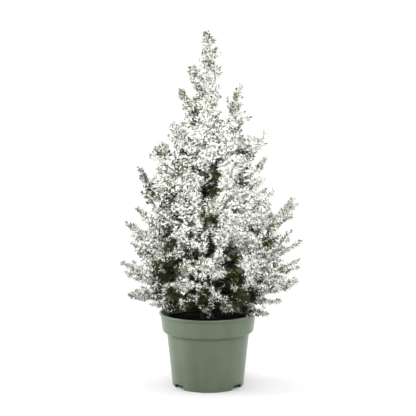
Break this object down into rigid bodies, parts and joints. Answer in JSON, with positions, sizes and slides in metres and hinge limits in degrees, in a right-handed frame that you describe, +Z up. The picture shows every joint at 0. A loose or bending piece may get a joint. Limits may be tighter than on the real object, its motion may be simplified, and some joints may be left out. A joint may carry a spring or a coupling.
{
  "type": "potted dwarf alberta spruce with spray snow",
  "caption": "Small conical white-needled dwarf spruce standing in a round green plastic nursery pot, for patio, step or table.",
  "frame": {"origin": "on the ground, in the middle of the pot's flat underside", "axes": "+Z up along the pot's axis and the trunk, -Y towards the front of the plant, +X to the right seen from the front"},
  "size_m": [0.3425, 0.2877, 0.678],
  "materials": {
    "pot": "moulded sage green polypropylene, satin, very fine grain",
    "soil": "moist dark brown peat compost, crumbly",
    "bark": "thin scaly grey-brown bark",
    "foliage": "short green needles, most of them coated white with spray snow"
  },
  "bodies": {
    "root": {"bough_skirt_1": "bark", "bough_skirt_10": "bark", "bough_skirt_2": "bark", "bough_skirt_3": "bark", "bough_skirt_4": "bark", "bough_skirt_5": "bark", "bough_skirt_6": "bark", "bough_skirt_7": "bark", "bough_skirt_8": "bark", "bough_skirt_9": "bark", "foliage_crown_1": "foliage", "foliage_crown_2": "foliage", "foliage_crown_3": "foliage", "foliage_crown_4": "foliage", "foliage_crown_5": "foliage", "foliage_crown_6": "foliage", "foliage_crown_7": "foliage", "foliage_crown_8": "foliage", "foliage_crown_9": "foliage", "foliage_leader": "foliage", "foliage_lower_1": "foliage", "foliage_lower_2": "foliage", "foliage_lower_3": "foliage", "foliage_lower_4": "foliage", "foliage_lower_5": "foliage", "foliage_lower_6": "foliage", "foliage_lower_7": "foliage", "foliage_lower_8": "foliage", "foliage_middle_1": "foliage", "foliage_middle_10": "foliage", "foliage_middle_2": "foliage", "foliage_middle_3": "foliage", "foliage_middle_4": "foliage", "foliage_middle_5": "foliage", "foliage_middle_6": "foliage", "foliage_middle_7": "foliage", "foliage_middle_8": "foliage", "foliage_middle_9": "foliage", "foliage_skirt_1": "foliage", "foliage_skirt_10": "foliage", "foliage_skirt_2": "foliage", "foliage_skirt_3": "foliage", "foliage_skirt_4": "foliage", "foliage_skirt_5": "foliage", "foliage_skirt_6": "foliage", "foliage_skirt_7": "foliage", "foliage_skirt_8": "foliage", "foliage_skirt_9": "foliage", "foliage_upper_1": "foliage", "foliage_upper_2": "foliage", "foliage_upper_3": "foliage", "foliage_upper_4": "foliage", "foliage_upper_5": "foliage", "foliage_upper_6": "foliage", "foliage_upper_7": "foliage", "foliage_upper_8": "foliage", "foliage_upper_9": "foliage", "pot": "pot", "soil": "soil", "trunk": "bark"}
  },
  "joints": []
}
